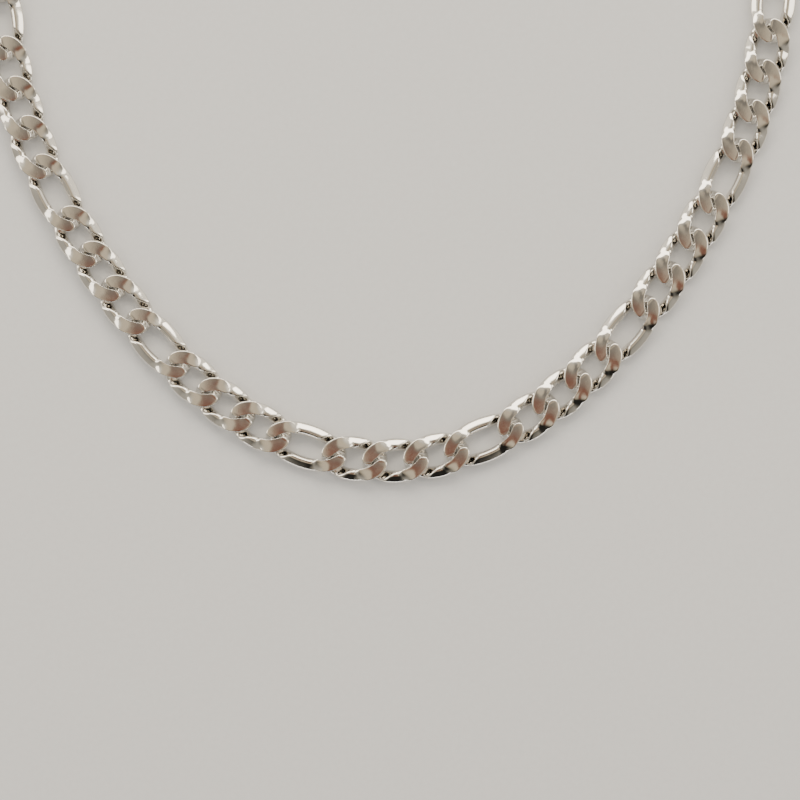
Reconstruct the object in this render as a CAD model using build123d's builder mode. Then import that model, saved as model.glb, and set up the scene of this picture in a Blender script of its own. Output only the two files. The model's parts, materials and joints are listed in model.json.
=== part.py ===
from build123d import *
from math import atan, copysign, cos, degrees, pi, radians, sin, tanh
import os

# A Figaro curb chain necklace with a lobster clasp, laid flat and unfastened.
# Millimetres, +Z up. The chain rests on the plane Z = 0. The origin is under the centre
# of the front link, and +Y runs from the front link towards the neck.
# Each arm is described outwards, from the front link to its free end.

# Links: flattened ovals of wire, twisted so that neighbours cross at mid height.
chain_width = 9.0
chain_thickness = 3.1
wire_width = 2.5
wire_height = 2.2
end_play = 0.3
short_pitch = 8.25
long_pitch = 11.75
end_squareness = 2.2
twist_height = 1.4
path_points = 32
guide_height = 20.0

# Layout: a hanging curve at the front, then arms that close in behind the neck.
arm_pattern = ["short"] + 6 * ["long", "short", "short", "short"]
hang_radius = 48.0
hang_length = 86.0
lowest_point_shift = 1.8
closing_rate = radians(0.55)

# Jump ring: an oval ring that leans on the resting plane at the end of the left arm.
jump_ring_reach = 3.3
jump_ring_half_width = 2.3
jump_ring_wire_radius = 0.5
jump_ring_lean = 52.0
ring_start = 3.1

# End ring: the ring at the end of the right arm that the clasp hooks into.
end_ring_reach = 3.3
end_ring_half_width = 2.9
end_ring_wire_radius = 0.65
end_ring_lean = 20.0
end_ring_start = 2.7
ring_rest_gap = 0.02

# Lobster clasp, in its own plane with the eye's centre at (0, 0).
clasp_eye_offset = 3.2
clasp_mid_height = 2.3
clasp_thickness = 4.4
clasp_length = 15.6
clasp_width = 9.2
clasp_centre = 10.4
clasp_edge_round = 0.7
opening_centre = (11.6, -0.1)
opening_length = 9.8
opening_width = 5.4
opening_edge_round = 0.5
eye_radius = 2.6
eye_hole_radius = 1.6
eye_thickness = 1.1
neck_start, neck_end = 1.9, 4.2
neck_width = 3.4
neck_thickness = 1.7

# Gate of the clasp: a lever on a pin, in a slot between the body's two cheeks.
pivot = (5.7, 2.1)
gate_floor = 0.3
cheek_end = 7.4
nose_radius = 8.8
lever_reach = 8.6
lever_inset = 0.15
lever_arm_start = 7.9
lever_arm_thickness = 2.5
lever_root_end = 9.5
lever_root_radius = 1.55
lever_root_thickness = 1.7
slot_start, slot_end, slot_floor = 3.6, 8.6, 0.1
slot_width = 1.9
pocket_end, pocket_floor = 6.2, -1.2
pin_radius = 0.5
pin_fit = 0.03
lever_pin_fit = 0.08
pin_proud = 0.1
thumb_tab = ((4.6, 3.1), (4.1, 5.9), (5.1, 6.3), (7.2, 3.9), (6.4, 2.4))
spring_bends = ((5.9, -1.0), (4.1, -1.0), (3.95, -0.8), (5.9, 0.05))
spring_strip = 0.22
spring_width = 1.4


def wire_point(pitch, angle, lift=0.0):
    """Point on a link's wire, with its upper-left and lower-right shoulders high."""
    half_length = (pitch + wire_width + end_play) / 2
    half_width = (chain_width - wire_width) / 2
    power = 2 / end_squareness
    x = half_length * copysign(abs(cos(angle)) ** power, cos(angle))
    y = half_width * copysign(abs(sin(angle)) ** power, sin(angle))
    z = -twist_height * tanh(sin(2 * angle)) / tanh(1)
    return (x, y, chain_thickness / 2 + z + lift)


def make_link(pitch):
    """One link at the origin: twisted wire with its section upright, then cut flat."""
    angles = [2 * pi * i / path_points for i in range(path_points)]
    with BuildLine() as path:
        Spline(*[wire_point(pitch, angle) for angle in angles], periodic=True)
    with BuildLine() as guide:
        Spline(*[wire_point(pitch, angle, guide_height) for angle in angles], periodic=True)
    with BuildPart() as link:
        with BuildSketch(Plane(wire_point(pitch, 0), x_dir=(1, 0, 0), z_dir=(0, 1, 0))):
            Ellipse(wire_width / 2, wire_height / 2)
        sweep(path=path.line, binormal=guide.line.edge())
        with BuildSketch():
            Rectangle(2 * pitch, 2 * chain_width)
        extrude(amount=chain_thickness, mode=Mode.INTERSECT)
    return link.part


def heading(length):
    """Direction of the right arm at a length along it from the curve's lowest point."""
    if length <= hang_length:
        return atan(length / hang_radius)
    return atan(hang_length / hang_radius) + closing_rate * (length - hang_length)


def front_heading():
    return heading(lowest_point_shift)


def lay_arm(side):
    """Centre, heading and pitch of each link of an arm; side is 1 for right, -1 for left."""
    start = 0 if side > 0 else pi
    direction = front_heading() + start
    tip = Vector(cos(direction), sin(direction)) * (short_pitch / 2)
    length = short_pitch / 2 + side * lowest_point_shift
    places = []
    for kind in arm_pattern:
        pitch = long_pitch if kind == "long" else short_pitch
        direction = start + side * heading(length + pitch / 2)
        step = Vector(cos(direction), sin(direction)) * pitch
        places.append((tip + step / 2, direction, pitch))
        tip += step
        length += pitch
    return places


def lay_flat(blank, centre, direction):
    """A copy of a link turned to its heading."""
    with BuildPart() as laid:
        with Locations(Location((centre.X, centre.Y, 0), (0, 0, degrees(direction)))):
            add(blank)
    return laid.part


def leaning_plane(centre, direction, lean):
    """Plane of a ring: its X runs along the arm and it leans about that line."""
    out = Vector(cos(direction), sin(direction))
    across = Vector(-sin(direction), cos(direction))
    upright = Vector(0, 0, 1) * cos(radians(lean)) - across * sin(radians(lean))
    return Plane(centre, x_dir=out, z_dir=upright)


def make_ring(plane, reach, half_width, wire_radius):
    """A closed oval ring of round wire."""
    with BuildPart() as ring:
        with BuildLine(plane) as path:
            EllipticalCenterArc((0, 0), reach, half_width, 0, arc_size=180)
            EllipticalCenterArc((0, 0), reach, half_width, 180, arc_size=180)
        with BuildSketch(Plane(path.line @ 0, z_dir=path.line % 0)):
            Circle(wire_radius)
        sweep(path=path.line)
    return ring.part


def ring_centre(link_centre, direction, start, reach, half_width, wire_radius, lean):
    """Centre of a ring hung on a link's outer end and leaning on the resting plane."""
    out = Vector(cos(direction), sin(direction))
    rise = half_width * sin(radians(lean)) + wire_radius + ring_rest_gap
    return link_centre + out * (start + reach) + Vector(0, 0, rise)


def save(part, name):
    part.label = name
    export_step(part, f"parts/{name}.step")


os.makedirs("parts", exist_ok=True)

# The links
short_link = make_link(short_pitch)
long_link = make_link(long_pitch)
save(lay_flat(short_link, Vector(0, 0), front_heading()), "front_link")
arms = {"left": lay_arm(-1), "right": lay_arm(1)}
for arm, places in arms.items():
    for number, (centre, direction, pitch) in enumerate(places, 1):
        blank = long_link if pitch == long_pitch else short_link
        save(lay_flat(blank, centre, direction), f"{arm}_link_{number:02d}")

# The jump ring on the left arm
left_centre, left_direction, _ = arms["left"][-1]
jump_centre = ring_centre(left_centre, left_direction, ring_start, jump_ring_reach,
                          jump_ring_half_width, jump_ring_wire_radius, jump_ring_lean)
jump_plane = leaning_plane(jump_centre, left_direction, jump_ring_lean)
save(make_ring(jump_plane, jump_ring_reach, jump_ring_half_width, jump_ring_wire_radius),
     "jump_ring")

# The end ring on the right arm
right_centre, right_direction, _ = arms["right"][-1]
end_centre = ring_centre(right_centre, right_direction, end_ring_start, end_ring_reach,
                         end_ring_half_width, end_ring_wire_radius, end_ring_lean)
end_plane = leaning_plane(end_centre, right_direction, end_ring_lean)
save(make_ring(end_plane, end_ring_reach, end_ring_half_width, end_ring_wire_radius),
     "end_ring")

# The clasp lies flat, with its eye over the outer end of the jump ring
out = Vector(cos(left_direction), sin(left_direction))
eye_centre = jump_centre + out * clasp_eye_offset
clasp_plane = Plane((eye_centre.X, eye_centre.Y, clasp_mid_height), x_dir=out, z_dir=(0, 0, 1))

with BuildPart() as clasp_body:
    with BuildSketch(clasp_plane):
        with Locations((clasp_centre, 0)):
            Ellipse(clasp_length / 2, clasp_width / 2)
    extrude(amount=clasp_thickness / 2, both=True)
    fillet(clasp_body.edges().filter_by(GeomType.ELLIPSE), clasp_edge_round)
    with BuildSketch(clasp_plane):
        with Locations(opening_centre):
            Ellipse(opening_length / 2, opening_width / 2)
    extrude(amount=clasp_thickness, both=True, mode=Mode.SUBTRACT)
    flats = clasp_body.faces().filter_by(GeomType.PLANE).sort_by(Axis.Z)
    fillet(flats[0].inner_wires()[0].edges(), opening_edge_round)
    flats = clasp_body.faces().filter_by(GeomType.PLANE).sort_by(Axis.Z)
    fillet(flats[-1].inner_wires()[0].edges(), opening_edge_round)
    with BuildSketch(clasp_plane):
        with Locations(((neck_start + neck_end) / 2, 0)):
            Rectangle(neck_end - neck_start, neck_width)
    extrude(amount=neck_thickness / 2, both=True)
    with BuildSketch(clasp_plane):
        Circle(eye_radius)
    extrude(amount=eye_thickness / 2, both=True)
    with BuildSketch(clasp_plane):
        Circle(eye_hole_radius)
    extrude(amount=clasp_thickness, both=True, mode=Mode.SUBTRACT)
    # The gap that the gate closes, with a nose face that follows the gate's swing
    with BuildSketch(clasp_plane):
        with Locations(pivot):
            Circle(nose_radius)
        with Locations((cheek_end, gate_floor)):
            Rectangle(clasp_length, clasp_width, align=(Align.MIN, Align.MIN), mode=Mode.INTERSECT)
    extrude(amount=clasp_thickness, both=True, mode=Mode.SUBTRACT)
    # The slot for the gate's root, and the spring's pocket below it
    with BuildSketch(clasp_plane):
        with Locations((slot_start, slot_floor)):
            Rectangle(slot_end - slot_start, clasp_width, align=(Align.MIN, Align.MIN))
        with Locations((slot_start, pocket_floor)):
            Rectangle(pocket_end - slot_start, slot_floor - pocket_floor, align=(Align.MIN, Align.MIN))
    extrude(amount=slot_width / 2, both=True, mode=Mode.SUBTRACT)
    with BuildSketch(clasp_plane):
        with Locations(pivot):
            Circle(pin_radius + pin_fit)
    extrude(amount=clasp_thickness, both=True, mode=Mode.SUBTRACT)
clasp_body.part.label = "clasp_body"
export_step(clasp_body.part, "parts/clasp_body.step")

with BuildPart() as clasp_lever:
    # The arm fills the body's outline between the cheeks and the nose
    with BuildSketch(clasp_plane):
        with Locations((clasp_centre, 0)):
            Ellipse(clasp_length / 2 - lever_inset, clasp_width / 2 - lever_inset)
        with Locations(opening_centre):
            Ellipse(opening_length / 2, opening_width / 2, mode=Mode.SUBTRACT)
        with Locations(pivot):
            Circle(lever_reach, mode=Mode.INTERSECT)
        with Locations((lever_arm_start, gate_floor)):
            Rectangle(clasp_length, clasp_width, align=(Align.MIN, Align.MIN), mode=Mode.INTERSECT)
    extrude(amount=lever_arm_thickness / 2, both=True)
    # The root runs back between the cheeks to the pin and carries the thumb tab
    with BuildSketch(clasp_plane):
        with Locations((clasp_centre, 0)):
            Ellipse(clasp_length / 2 - lever_inset, clasp_width / 2 - lever_inset)
        with Locations(opening_centre):
            Ellipse(opening_length / 2, opening_width / 2, mode=Mode.SUBTRACT)
        with Locations(pivot):
            Rectangle(lever_root_end - pivot[0], clasp_width, align=(Align.MIN, Align.CENTER),
                      mode=Mode.INTERSECT)
        with Locations((pivot[0], pivot[1] - lever_root_radius)):
            Rectangle(clasp_length, clasp_width, align=(Align.MIN, Align.MIN), mode=Mode.INTERSECT)
        with Locations(pivot):
            Circle(lever_root_radius)
        Polygon(*thumb_tab, align=None)
    extrude(amount=lever_root_thickness / 2, both=True)
    with BuildSketch(clasp_plane):
        with Locations(pivot):
            Circle(pin_radius + lever_pin_fit)
    extrude(amount=clasp_thickness, both=True, mode=Mode.SUBTRACT)
clasp_lever.part.label = "clasp_lever"
export_step(clasp_lever.part, "parts/clasp_lever.step")

with BuildPart() as clasp_pin:
    with BuildSketch(clasp_plane):
        with Locations(pivot):
            Circle(pin_radius)
    extrude(amount=clasp_thickness / 2 + pin_proud, both=True)
    fillet(clasp_pin.edges().filter_by(GeomType.CIRCLE), pin_proud)
clasp_pin.part.label = "clasp_pin"
export_step(clasp_pin.part, "parts/clasp_pin.step")

with BuildPart() as clasp_spring:
    with BuildSketch(clasp_plane):
        with BuildLine():
            Polyline(*spring_bends)
        trace(line_width=spring_strip)
    extrude(amount=spring_width / 2, both=True)
clasp_spring.part.label = "clasp_spring"
export_step(clasp_spring.part, "parts/clasp_spring.step")
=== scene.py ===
import json
from math import atan2, cos, pi, radians, sin

import bpy
import numpy as np
from mathutils import Matrix, Vector


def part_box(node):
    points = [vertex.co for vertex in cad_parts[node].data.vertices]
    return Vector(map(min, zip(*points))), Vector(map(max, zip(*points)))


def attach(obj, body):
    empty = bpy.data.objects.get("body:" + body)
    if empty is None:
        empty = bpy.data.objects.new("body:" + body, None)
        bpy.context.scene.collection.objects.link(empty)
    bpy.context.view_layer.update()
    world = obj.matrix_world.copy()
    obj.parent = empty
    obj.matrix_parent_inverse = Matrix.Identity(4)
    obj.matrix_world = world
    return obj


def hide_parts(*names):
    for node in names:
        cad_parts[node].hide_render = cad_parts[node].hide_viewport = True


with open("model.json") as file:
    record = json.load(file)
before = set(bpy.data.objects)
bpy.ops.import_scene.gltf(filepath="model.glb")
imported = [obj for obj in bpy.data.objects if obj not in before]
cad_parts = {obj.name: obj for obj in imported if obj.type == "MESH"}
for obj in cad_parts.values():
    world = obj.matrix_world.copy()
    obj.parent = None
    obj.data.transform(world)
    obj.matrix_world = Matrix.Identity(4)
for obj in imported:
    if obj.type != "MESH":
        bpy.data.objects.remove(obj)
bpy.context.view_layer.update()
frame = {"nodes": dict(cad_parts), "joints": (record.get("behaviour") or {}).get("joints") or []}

MM = 0.001

# The pressed link, in millimetres: an oval with an oval hole, rolled flat at both faces
CHAIN_WIDTH = 9.0
CHAIN_THICKNESS = 3.1
SHORT_PITCH = 8.25
WIRE_WIDTH = 2.5
END_PLAY = 0.3
CENTRE_SQUARENESS = 2.2
OUTER_BEYOND_PITCH = 2.575
OUTER_SQUARENESS = 2.05
HOLE_INSIDE_PITCH = 0.72
HOLE_HALF_WIDTH = 1.98
HOLE_SQUARENESS = 2.2

# The wire's rise and fall round the link, and its half height at the bars and the ends
TWIST_HEIGHT = 1.35
TWIST_START, TWIST_END = 0.7, 3.4
TWIST_SLANT = 0.9
CAP_HALF_WIDTH = 1.0
BAR_HALF_HEIGHT = 1.1
CAP_HALF_HEIGHT = 2.3
CAP_REACH = 0.95
BAR_ROUNDNESS, CAP_ROUNDNESS = 1.9, 2.8
BEYOND_SLOPE = 3

# The rolled faces: slightly domed facets that turn into the bars' sloping faces
FACET_OFFSET = 1.8
FACET_CURVE = 0.022
EDGE_ROUND = 0.12
FACET_ROUND = 0.24
FACE_TILT = radians(26)
FACE_DROP = 0.3
TILT_START, TILT_END = -4.6, -0.2
TILT_EASE = 1.5
TILT_PIVOT = -0.5
TILT_INNER_Y, TILT_FADE = 1.0, 1.4
SIDE_CHANGE = 0.6
SLOPE_SCALE, SLOPE_BLEND = 0.9, 0.25
ACROSS_LIMIT = 1.2

# The turning surface that keeps two neighbours apart at a junction
JUNCTION_TURN = radians(40)
JUNCTION_GAP = 0.13
JUNCTION_FLARE = 0.14
JUNCTION_MARGIN = 0.2
JUNCTION_BLEND = 0.2
JUNCTION_NECK = 0.2

# How finely a link is meshed, where its rays start, and its weld line
CORE_LEVEL = 0.62
STATION_SPACING = 0.165
FINE_STEPS = 4000
FINE_ANGLES = 240
ROWS = 64
MARCH_STEP = 0.1
MARCH_REACH = 3.4
HALVINGS = 12
TURN_WEIGHT = 0.9
WELD_ANGLE = radians(9)
WELD_OFFSETS = (-0.24, -0.14, -0.07, 0.0, 0.07, 0.14, 0.24)
WELD_WIDTH = 0.07
WELD_DEPTH = 0.045
NORMAL_REACH = 0.004
TINY = 1e-12

# The clasp's worn edges (metres and passes), and the seams of the rings
CLASP_VOXEL, CLASP_PASSES = 0.11 * MM, 6
LEVER_VOXEL, LEVER_PASSES = 0.07 * MM, 6
SMOOTH_FACTOR = 0.5
RING_SEAM_DEPTH, RING_SEAM_ANGLE = 0.08, 0.03


# ---------------------------------------------------------------- meshes

def mesh_object(name, vertices, faces, scale=MM):
    """A smooth-shaded mesh object; the scale takes its points to metres."""
    mesh = bpy.data.meshes.new(name)
    mesh.from_pydata([tuple(v) for v in np.asarray(vertices) * scale], [], faces)
    mesh.polygons.foreach_set("use_smooth", [True] * len(mesh.polygons))
    mesh.update()
    piece = bpy.data.objects.new(name, mesh)
    bpy.context.scene.collection.objects.link(piece)
    return piece


def ring_faces(stations, rows):
    """Quads of a grid that closes on itself both ways."""
    faces = []
    for i in range(stations):
        for j in range(rows):
            i2, j2 = (i + 1) % stations, (j + 1) % rows
            faces.append((i * rows + j, i2 * rows + j, i2 * rows + j2, i * rows + j2))
    return faces


def oval_ring(name, axes, half_length, half_width, wire, stations=96, rows=24):
    """A ring of round wire, with a fine seam, on the plane of the first two of three axes."""
    centre, x_axis, y_axis, z_axis = axes
    vertices = []
    for u in np.linspace(0, 2 * pi, stations, endpoint=False):
        middle = half_length * cos(u) * x_axis + half_width * sin(u) * y_axis
        normal = half_width * cos(u) * x_axis + half_length * sin(u) * y_axis
        normal /= np.linalg.norm(normal)
        from_seam = (u - pi / 2) / RING_SEAM_ANGLE
        radius = wire * (1 - RING_SEAM_DEPTH * np.exp(-from_seam ** 2))
        for q in np.linspace(0, 2 * pi, rows, endpoint=False):
            vertices.append(centre + middle + radius * (cos(q) * normal + sin(q) * z_axis))
    return mesh_object(name, vertices, ring_faces(stations, rows), scale=1.0)


def cad_points(node):
    co = np.zeros(len(frame["nodes"][node].data.vertices) * 3)
    frame["nodes"][node].data.vertices.foreach_get("co", co)
    return co.reshape(-1, 3)


def middle_of(node):
    low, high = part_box(node)
    return (low + high) / 2


def polished_cast(name, node, voxel, passes):
    """The CAD node's own shape with its edges worn soft, as a cast and tumbled part has."""
    mesh = frame["nodes"][node].data.copy()
    mesh.materials.clear()
    piece = bpy.data.objects.new(name, mesh)
    bpy.context.scene.collection.objects.link(piece)
    remesh = piece.modifiers.new("remesh", "REMESH")
    remesh.mode = "VOXEL"
    remesh.voxel_size = voxel
    remesh.use_smooth_shade = True
    smooth = piece.modifiers.new("smooth", "SMOOTH")
    smooth.factor = SMOOTH_FACTOR
    smooth.iterations = passes
    bpy.context.view_layer.update()
    shaped = bpy.data.meshes.new_from_object(
        piece.evaluated_get(bpy.context.evaluated_depsgraph_get()))
    piece.modifiers.clear()
    piece.data = shaped
    shaped.polygons.foreach_set("use_smooth", [True] * len(shaped.polygons))
    return piece


# ---------------------------------------------------------------- the link's shape

def smooth_step(value):
    value = np.clip(value, 0, 1)
    return value * value * (3 - 2 * value)


def soft_max(a, b, radius):
    """The larger of two fields, with the crease between them rounded."""
    share = np.clip(0.5 + 0.5 * (a - b) / radius, 0, 1)
    return b + (a - b) * share + radius * share * (1 - share)


def oval(x, y, half_length, half_width, squareness):
    """1 on the oval, less inside it and more outside."""
    total = abs(x / half_length) ** squareness + abs(y / half_width) ** squareness
    return (total + TINY) ** (1 / squareness)


def past_middle(pitch, x):
    """Distance along a link, measured as if its straight middle were a short link's."""
    return abs(x) - (pitch - SHORT_PITCH) / 2


def wire_level(pitch, x, y):
    """Height of the wire's middle: high on one side of each end, low on the other."""
    run = past_middle(pitch, x) + TWIST_SLANT * ((CHAIN_WIDTH - WIRE_WIDTH) / 2 - abs(y))
    ends = smooth_step((run - TWIST_START) / (TWIST_END - TWIST_START))
    return -TWIST_HEIGHT * np.sign(x) * ends * np.tanh(y / CAP_HALF_WIDTH)


def across_wire(pitch, x, y, plain):
    """Place across the wire: -1 at the hole's edge, 1 at the link's outer edge."""
    half_width = CHAIN_WIDTH / 2
    outer = 1 - oval(x, y, pitch / 2 + OUTER_BEYOND_PITCH, half_width, OUTER_SQUARENESS)
    hole_end = pitch / 2 + np.where(plain, END_PLAY / 2, -HOLE_INSIDE_PITCH)
    inner = oval(x, y, hole_end, HOLE_HALF_WIDTH, HOLE_SQUARENESS) - 1
    inner = inner * HOLE_HALF_WIDTH / half_width
    share = (inner - outer) / np.maximum(abs(inner) + abs(outer), 1e-6)
    beyond = np.where(outer <= 0, 1 + abs(outer) * BEYOND_SLOPE, -1 - abs(inner) * BEYOND_SLOPE)
    return np.where((outer > 0) & (inner > 0), share, beyond)


def wire_field(pitch, x, y, z, across, plain):
    """The wire's rounded section, taller where it crosses the link's end."""
    ends = smooth_step((past_middle(pitch, x) - TWIST_START) / (TWIST_END - TWIST_START))
    cap = np.exp(-(abs(y) / CAP_REACH) ** 4) * ends * (1 - plain)
    half_height = BAR_HALF_HEIGHT + (CAP_HALF_HEIGHT - BAR_HALF_HEIGHT) * cap
    power = BAR_ROUNDNESS + (CAP_ROUNDNESS - BAR_ROUNDNESS) * ends
    level = (z - wire_level(pitch, x, y)) / half_height
    reach = (abs(across) ** power + abs(level) ** power + 1e-9) ** (1 / power)
    return (reach - 1) * WIRE_WIDTH / 2


def face_limit(pitch, x, y):
    """Height of a face's domed facets above the link's mid height."""
    near_x = abs(x) - pitch / 2
    near_y = abs(y) - FACET_OFFSET
    return CHAIN_THICKNESS / 2 - FACET_CURVE / 2 * (near_x ** 2 + near_y ** 2)


def bar_slope(pitch, x, y, z, across, side):
    """The sloping face a bar turns to once it has left the facet, and how soft it is."""
    run = x * np.tanh(y / SIDE_CHANGE) * side
    run = np.sign(run) * np.maximum(abs(run) - (pitch - SHORT_PITCH) / 2, 0)
    share = smooth_step((run - TILT_START) / (TILT_END - TILT_START)) ** TILT_EASE
    share = share * smooth_step((abs(y) - TILT_INNER_Y) / TILT_FADE)
    out = (np.clip(across, -ACROSS_LIMIT, ACROSS_LIMIT) - TILT_PIVOT) * WIRE_WIDTH / 2
    limit = CHAIN_THICKNESS / 2 - FACE_DROP * share - np.tan(FACE_TILT * share) * out
    return (side * z - limit) * SLOPE_SCALE, EDGE_ROUND + SLOPE_BLEND * share


def junction_field(pitch, x, y, z, side):
    """The half of the gap to the next link that this link gives up, and how soft it is."""
    run, rise = side * x + pitch / 2, side * y
    turn = np.clip(rise * JUNCTION_TURN, -pi / 2, pi / 2)
    depth = -run * np.cos(turn) + z * np.sin(turn)
    along = run * np.sin(turn) + z * np.cos(turn)
    gap = JUNCTION_GAP + JUNCTION_FLARE * np.sqrt(along ** 2 + JUNCTION_NECK ** 2)
    reach = SHORT_PITCH / 2 + OUTER_BEYOND_PITCH + JUNCTION_MARGIN
    width = CHAIN_WIDTH / 2
    beyond = oval(run + SHORT_PITCH / 2, rise, reach, width + JUNCTION_MARGIN, OUTER_SQUARENESS)
    clear = np.maximum((beyond - 1) * width, 0)
    return gap - depth - clear - clear ** 2, EDGE_ROUND + JUNCTION_BLEND * np.clip(clear, 0, 1)


def link_field(pitch, points, plain_end=0):
    """Below zero inside the link; the plain end, if it has one, takes a ring, not a link."""
    x, y, z = points[..., 0], points[..., 1], points[..., 2]
    plain = np.sign(x) * plain_end > 0
    across = across_wire(pitch, x, y, plain)
    field = wire_field(pitch, x, y, z, across, plain)
    for side in (1, -1):
        field = soft_max(field, side * z - face_limit(pitch, x, y), FACET_ROUND)
    for side in (1, -1):
        field = soft_max(field, *bar_slope(pitch, x, y, z, across, side))
    for side in (1, -1):
        if side != -plain_end:
            field = soft_max(field, *junction_field(pitch, x, y, z, side))
    return field


def wire_centre(pitch, angle):
    """Centreline of a link's wire on the plane, about the link's own middle."""
    half_length = (pitch + WIRE_WIDTH + END_PLAY) / 2
    half_width = (CHAIN_WIDTH - WIRE_WIDTH) / 2
    power = 2 / CENTRE_SQUARENESS
    x = half_length * np.sign(np.cos(angle)) * abs(np.cos(angle)) ** power
    y = half_width * np.sign(np.sin(angle)) * abs(np.sin(angle)) ** power
    return np.stack((x, y), axis=-1)


def link_stations(pitch):
    """Angles round a link, evenly spaced along the wire and closer at the weld."""
    fine = np.linspace(0, 2 * pi, FINE_STEPS + 1)
    steps = np.linalg.norm(np.diff(wire_centre(pitch, fine), axis=0), axis=1)
    run = np.concatenate(([0], np.cumsum(steps)))
    even = np.linspace(0, run[-1], round(run[-1] / STATION_SPACING), endpoint=False)
    weld = np.interp(WELD_ANGLE, fine, run)
    clear = even[abs(even - weld) > WELD_OFFSETS[-1] + STATION_SPACING / 2]
    lengths = np.sort(np.concatenate((clear, weld + np.array(WELD_OFFSETS))))
    return np.interp(lengths, run, fine), lengths - weld


def surface_distance(field, core, rays):
    """How far each ray runs from its core point before it leaves the link."""
    steps = np.arange(MARCH_STEP, MARCH_REACH + MARCH_STEP / 2, MARCH_STEP)
    far = np.full(rays.shape[:-1], np.nan)
    for step in steps:
        left = np.isnan(far) & (field(core + rays * step) > 0)
        far[left] = step
    far = np.where(np.isnan(far), MARCH_REACH, far)
    near = far - MARCH_STEP
    for _ in range(HALVINGS):
        middle = (near + far) / 2
        inside = field(core + rays * middle[..., None]) <= 0
        near, far = np.where(inside, middle, near), np.where(inside, far, middle)
    return (near + far) / 2


def section_rays(outward, angles):
    """Unit rays in each station's section, from its outward side round to the same side."""
    flat = np.cos(angles)[..., None] * outward[:, None]
    return np.concatenate((flat, np.sin(angles)[..., None]), axis=-1)


def even_rows(points, angles):
    """Section angles shared out by the surface's length and turning, so edges stay crisp."""
    step = np.roll(points, -1, axis=1) - points
    length = np.linalg.norm(step, axis=2)
    heading = step / np.maximum(length[..., None], 1e-9)
    turn = np.arccos(np.clip((heading * np.roll(heading, 1, axis=1)).sum(axis=-1), -1, 1))
    weight = length / length.sum(axis=1, keepdims=True) + TURN_WEIGHT * turn / (2 * pi)
    weight = (weight + np.roll(weight, 1, axis=1) + np.roll(weight, -1, axis=1)) / 3
    total = np.concatenate((np.zeros((len(weight), 1)), np.cumsum(weight, axis=1)), axis=1)
    total /= total[:, -1:]
    shares = np.linspace(0, 1, ROWS, endpoint=False)
    return np.stack([np.interp(shares, row, angles) for row in total])


def surface_normals(field, points):
    """Unit normals of the link's surface, from its field."""
    normals = np.zeros_like(points)
    for axis in range(3):
        step = np.zeros(3)
        step[axis] = NORMAL_REACH
        normals[..., axis] = field(points + step) - field(points - step)
    return normals / np.maximum(np.linalg.norm(normals, axis=-1, keepdims=True), TINY)


def link_mesh(name, pitch, plain_end):
    """A pressed link about its own middle, with a fine weld line round its end."""
    def field(points):
        return link_field(pitch, points, plain_end)

    angles, from_weld = link_stations(pitch)
    centres = wire_centre(pitch, angles)
    along = np.roll(centres, -1, axis=0) - np.roll(centres, 1, axis=0)
    along /= np.linalg.norm(along, axis=1)[:, None]
    outward = np.stack((along[:, 1], -along[:, 0]), axis=1)
    level = CORE_LEVEL * wire_level(pitch, centres[:, 0], centres[:, 1])
    core = np.concatenate((centres, level[:, None]), axis=1)[:, None]

    whole_turn = np.linspace(0, 2 * pi, FINE_ANGLES + 1)
    first = np.tile(whole_turn[:-1], (len(angles), 1))
    rays = section_rays(outward, first)
    coarse = core + rays * surface_distance(field, core, rays)[..., None]
    rays = section_rays(outward, even_rows(coarse, whole_turn))
    distance = surface_distance(field, core, rays)
    normals = surface_normals(field, core + rays * distance[..., None])

    ditch = WELD_DEPTH * np.exp(-(from_weld / WELD_WIDTH) ** 2)[:, None]
    points = core + rays * (distance - ditch)[..., None]
    lean = (2 * from_weld / WELD_WIDTH ** 2)[:, None, None] * ditch[..., None]
    normals[..., :2] -= lean * along[:, None]
    normals /= np.linalg.norm(normals, axis=-1, keepdims=True)
    piece = mesh_object(name, points.reshape(-1, 3), ring_faces(*points.shape[:2]))
    piece.data.normals_split_custom_set_from_vertices(normals.reshape(-1, 3).tolist())
    return piece


# ---------------------------------------------------------------- materials

def new_material(name):
    material = bpy.data.materials.new(name)
    material.use_nodes = True
    tree = material.node_tree
    return material, tree, tree.nodes["Principled BSDF"]


def add_node(tree, kind, **settings):
    node = tree.nodes.new(kind)
    for key, value in settings.items():
        if key in node.inputs:
            node.inputs[key].default_value = value
        else:
            setattr(node, key, value)
    return node


def map_range(tree, source, low, high, out_low, out_high):
    """A smooth step from one range to another."""
    node = add_node(tree, "ShaderNodeMapRange")
    node.interpolation_type = "SMOOTHSTEP"
    tree.links.new(source, node.inputs["Value"])
    keys = "From Min", "From Max", "To Min", "To Max"
    for key, value in zip(keys, (low, high, out_low, out_high)):
        node.inputs[key].default_value = value
    return node.outputs["Result"]


def math_node(tree, operation, a, b):
    node = add_node(tree, "ShaderNodeMath", operation=operation)
    for socket, value in zip(node.inputs, (a, b)):
        if isinstance(value, (int, float)):
            socket.default_value = value
        else:
            tree.links.new(value, socket)
    return node.outputs[0]


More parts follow.
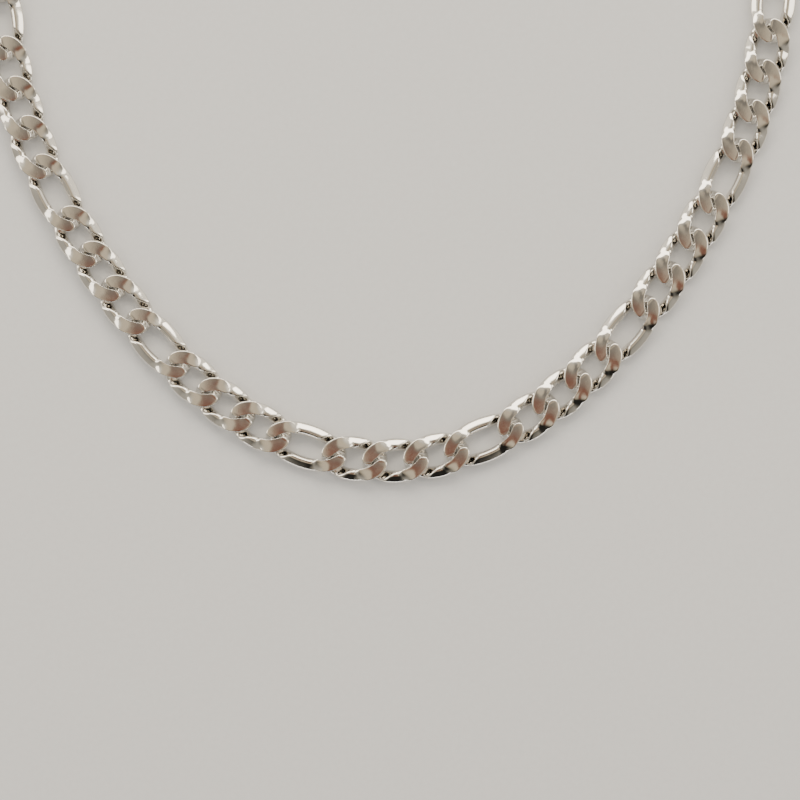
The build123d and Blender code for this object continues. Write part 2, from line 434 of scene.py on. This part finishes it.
def polished_steel(name, colour, roughness, scratch=0.004):
    """Polished steel: faint tonal drift, smears in the gloss and fine wiping scratches."""
    material, tree, shader = new_material(name)
    links = tree.links
    shader.inputs["Metallic"].default_value = 1.0
    place = add_node(tree, "ShaderNodeTexCoord")
    info = add_node(tree, "ShaderNodeObjectInfo")
    shift = add_node(tree, "ShaderNodeVectorMath", operation="MULTIPLY_ADD")
    links.new(info.outputs["Random"], shift.inputs[0])
    shift.inputs[1].default_value = (3.1, 1.7, 2.3)
    links.new(place.outputs["Object"], shift.inputs[2])
    where = shift.outputs[0]

    tone = add_node(tree, "ShaderNodeTexNoise", Scale=260.0, Detail=3.0)
    links.new(where, tone.inputs["Vector"])
    ramp = add_node(tree, "ShaderNodeValToRGB")
    ramp.color_ramp.elements[0].position = 0.3
    ramp.color_ramp.elements[0].color = (*[c * 0.93 for c in colour], 1)
    ramp.color_ramp.elements[1].position = 0.7
    ramp.color_ramp.elements[1].color = (*colour, 1)
    links.new(tone.outputs["Fac"], ramp.inputs["Fac"])
    links.new(ramp.outputs["Color"], shader.inputs["Base Color"])

    smear = add_node(tree, "ShaderNodeTexNoise", Scale=520.0, Detail=4.0, Roughness=0.6)
    links.new(where, smear.inputs["Vector"])
    gloss = map_range(tree, smear.outputs["Fac"], 0.35, 0.7, roughness * 0.7, roughness * 1.5)
    links.new(gloss, shader.inputs["Roughness"])

    stretch = add_node(tree, "ShaderNodeMapping")
    stretch.inputs["Scale"].default_value = (1200.0, 9000.0, 9000.0)
    stretch.inputs["Rotation"].default_value = (0.0, 0.0, 0.5)
    links.new(where, stretch.inputs["Vector"])
    lines = add_node(tree, "ShaderNodeTexNoise", Scale=1.0, Detail=2.0)
    links.new(stretch.outputs["Vector"], lines.inputs["Vector"])
    dents = add_node(tree, "ShaderNodeTexNoise", Scale=900.0, Detail=2.0)
    links.new(where, dents.inputs["Vector"])
    height = math_node(tree, "ADD", math_node(tree, "MULTIPLY", lines.outputs["Fac"], 0.25),
                       dents.outputs["Fac"])
    bump = add_node(tree, "ShaderNodeBump", Strength=1.0, Distance=scratch * MM)
    links.new(height, bump.inputs["Height"])
    links.new(bump.outputs["Normal"], shader.inputs["Normal"])
    return material


def paper_floor():
    """Plain pale studio card with a barely visible tooth."""
    material, tree, shader = new_material("pale_card")
    place = add_node(tree, "ShaderNodeTexCoord")
    tooth = add_node(tree, "ShaderNodeTexNoise", Scale=900.0, Detail=5.0)
    tree.links.new(place.outputs["Object"], tooth.inputs["Vector"])
    ramp = add_node(tree, "ShaderNodeValToRGB")
    ramp.color_ramp.elements[0].color = (0.70, 0.69, 0.67, 1)
    ramp.color_ramp.elements[1].color = (0.76, 0.75, 0.73, 1)
    tree.links.new(tooth.outputs["Fac"], ramp.inputs["Fac"])
    tree.links.new(ramp.outputs["Color"], shader.inputs["Base Color"])
    shader.inputs["Roughness"].default_value = 0.9
    shader.inputs["Specular IOR Level"].default_value = 0.1
    bump = add_node(tree, "ShaderNodeBump", Strength=0.3, Distance=0.05 * MM)
    tree.links.new(tooth.outputs["Fac"], bump.inputs["Height"])
    tree.links.new(bump.outputs["Normal"], shader.inputs["Normal"])
    return material


STEEL = (0.80, 0.775, 0.735)
chain_steel = polished_steel("chain_steel", STEEL, 0.09)
clasp_steel = polished_steel("clasp_steel", (0.79, 0.77, 0.74), 0.14)
ring_steel = polished_steel("ring_steel", (0.80, 0.78, 0.74), 0.12)
spring_steel = polished_steel("spring_steel", (0.56, 0.55, 0.54), 0.28)


def show(piece, material, body, node):
    """Finishes a piece: its material, the body it rides on and the CAD node it stands for."""
    piece.data.materials.clear()
    piece.data.materials.append(material)
    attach(piece, body)
    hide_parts(node)


# ---------------------------------------------------------------- the chain

joints = {joint["name"]: joint for joint in frame["joints"]}
LAST_LINKS = ("left_link_25", "right_link_25")


def link_place(name, hinge):
    """Middle, heading and pitch of a link, from its CAD node and the hinge at its start."""
    start = Vector(joints[hinge]["pos_m"])
    middle = middle_of(name)
    step = Vector((middle.x - start.x, middle.y - start.y))
    return middle, atan2(step.y, step.x), 2 * step.length / MM


def build_links():
    """Every link of the chain, sharing one mesh for each pitch and kind of end."""
    shapes = {}
    links = [("front_link", "right_hinge_01", pi)]
    for arm in ("left", "right"):
        names = sorted(n for n in frame["nodes"] if n.startswith(f"{arm}_link_"))
        links += [(n, n.replace("_link_", "_hinge_"), 0.0) for n in names]
    for name, hinge, turn in links:
        middle, heading, pitch = link_place(name, hinge)
        key = round(pitch, 1), int(name in LAST_LINKS)
        if key not in shapes:
            shapes[key] = link_mesh("link_shape", pitch, key[1])
        shape = shapes[key]
        piece = bpy.data.objects.new(f"{name}_metal", shape.data)
        bpy.context.scene.collection.objects.link(piece)
        place = Vector((middle.x, middle.y, CHAIN_THICKNESS / 2 * MM))
        piece.matrix_world = Matrix.Translation(place) @ Matrix.Rotation(heading + turn, 4, "Z")
        show(piece, chain_steel, name, name)
    for shape in shapes.values():
        bpy.data.objects.remove(shape)


def ring_axes(node):
    """Centre and axes of a CAD ring, longest first, from the spread of its points."""
    points = cad_points(node)
    centre = np.array(middle_of(node))
    _, _, axes = np.linalg.svd(points - centre, full_matrices=False)
    reach = np.abs((points - centre) @ axes.T).max(axis=0)
    return (centre, *axes), reach


def build_rings():
    for node in ("jump_ring", "end_ring"):
        axes, reach = ring_axes(node)
        wire = reach[2]
        ring = oval_ring(f"{node}_metal", axes, reach[0] - wire, reach[1] - wire, wire)
        show(ring, ring_steel, node, node)


def build_clasp():
    body = polished_cast("clasp_body_metal", "clasp_body", CLASP_VOXEL, CLASP_PASSES)
    show(body, clasp_steel, "clasp", "clasp_body")
    lever = polished_cast("clasp_lever_metal", "clasp_lever", LEVER_VOXEL, LEVER_PASSES)
    show(lever, clasp_steel, "clasp_lever", "clasp_lever")
    for node in ("clasp_pin", "clasp_spring"):
        part = frame["nodes"][node]
        part.data.materials.clear()
        part.data.materials.append(spring_steel)


build_links()
build_rings()
build_clasp()


# ---------------------------------------------------------------- stage

def soft_box(name, place, target, size, power, colour):
    lamp = bpy.data.lights.new(name, "AREA")
    lamp.shape = "RECTANGLE"
    lamp.size, lamp.size_y = size
    lamp.energy = power
    lamp.color = colour
    holder = bpy.data.objects.new(name, lamp)
    holder.location = place
    holder.rotation_euler = (Vector(target) - Vector(place)).to_track_quat("-Z", "Y").to_euler()
    bpy.context.scene.collection.objects.link(holder)


def blend(tree, share, first, second):
    """A mix of two colours, each a socket or a plain value."""
    node = add_node(tree, "ShaderNodeMix", data_type="RGBA")
    tree.links.new(share, node.inputs[0])
    for socket, colour in zip(node.inputs[6:8], (first, second)):
        if isinstance(colour, tuple):
            socket.default_value = (*colour, 1)
        else:
            tree.links.new(colour, socket)
    return node.outputs[2]


# What the polished faces see: overhead a dim warm room, behind it a bright wall
OVERHEAD_WARM = (0.27, 0.125, 0.085)
OVERHEAD_GREY = (0.25, 0.225, 0.19)
OVERHEAD_CREAM = (0.78, 0.66, 0.48)
WALL_TINT = (1.0, 0.925, 0.775)


def reflected_room(tree):
    """Colour of the surroundings by direction, as the metal reflects them."""
    coords = add_node(tree, "ShaderNodeTexCoord")
    parts = add_node(tree, "ShaderNodeSeparateXYZ")
    tree.links.new(coords.outputs["Generated"], parts.inputs[0])
    x, y, z = parts.outputs
    aside = math_node(tree, "ABSOLUTE", x, 0.0)
    warm_to_grey = map_range(tree, y, -0.05, 0.07, 0.0, 1.0)
    overhead = blend(tree, warm_to_grey, OVERHEAD_WARM, OVERHEAD_GREY)
    overhead = blend(tree, map_range(tree, aside, 0.025, 0.13, 0.0, 1.0), overhead, OVERHEAD_CREAM)
    level = map_range(tree, y, -0.30, 0.30, 0.02, 0.82)
    level = math_node(tree, "ADD", level, map_range(tree, aside, 0.15, 0.75, 0.0, 0.50))
    wall = add_node(tree, "ShaderNodeCombineColor")
    for socket, tint in zip(wall.inputs, WALL_TINT):
        tree.links.new(math_node(tree, "MULTIPLY", level, tint), socket)
    return blend(tree, map_range(tree, z, 0.80, 0.97, 1.0, 0.0), overhead, wall.outputs[0])


def studio_world():
    """Plain pale surroundings for the floor, and a room that only reflections see."""
    world = bpy.data.worlds.new("studio")
    bpy.context.scene.world = world
    world.use_nodes = True
    tree = world.node_tree
    tree.nodes.clear()
    reflected = add_node(tree, "ShaderNodeBackground", Strength=1.0)
    tree.links.new(reflected_room(tree), reflected.inputs["Color"])
    plain = add_node(tree, "ShaderNodeBackground", Strength=0.8)
    plain.inputs["Color"].default_value = (0.80, 0.79, 0.77, 1)
    path = add_node(tree, "ShaderNodeLightPath")
    chooser = add_node(tree, "ShaderNodeMixShader")
    tree.links.new(path.outputs["Is Glossy Ray"], chooser.inputs[0])
    tree.links.new(plain.outputs[0], chooser.inputs[1])
    tree.links.new(reflected.outputs[0], chooser.inputs[2])
    output = add_node(tree, "ShaderNodeOutputWorld")
    tree.links.new(chooser.outputs[0], output.inputs["Surface"])


def lay_floor(half_side=3.0):
    corners = [(-half_side, -half_side, 0), (half_side, -half_side, 0),
               (half_side, half_side, 0), (-half_side, half_side, 0)]
    floor = mesh_object("floor", corners, [(0, 1, 2, 3)], scale=1.0)
    floor.data.materials.append(paper_floor())


# The view takes in the front of the chain: the middle of the picture is above and
# slightly right of the front link.
VIEW_CENTRE = (0.92 * MM, 12.1 * MM, 0.0)
VIEW_WIDTH = 160 * MM
CAMERA_HEIGHT = 1.0
SENSOR = 36.0


def place_camera():
    lens = bpy.data.cameras.new("camera")
    lens.sensor_width = SENSOR
    lens.lens = SENSOR * CAMERA_HEIGHT / VIEW_WIDTH
    lens.clip_start, lens.clip_end = 0.01, 20.0
    camera = bpy.data.objects.new("camera", lens)
    camera.location = (VIEW_CENTRE[0], VIEW_CENTRE[1], CAMERA_HEIGHT)
    bpy.context.scene.collection.objects.link(camera)
    bpy.context.scene.camera = camera


lay_floor()
studio_world()
soft_box("key", (0.0, 0.75, 0.62), (0, 0.05, 0), (1.3, 0.5), 10.0, (1.0, 0.91, 0.77))
soft_box("left_fill", (-0.85, 0.15, 0.5), (0, 0.05, 0), (0.4, 0.7), 3.0, (1.0, 0.91, 0.77))
soft_box("right_fill", (0.85, 0.15, 0.5), (0, 0.05, 0), (0.4, 0.7), 3.0, (1.0, 0.91, 0.77))
soft_box("rim", (0.0, -0.9, 0.16), (0, 0.05, 0), (1.4, 0.12), 2.0, (1.0, 0.98, 0.95))
place_camera()
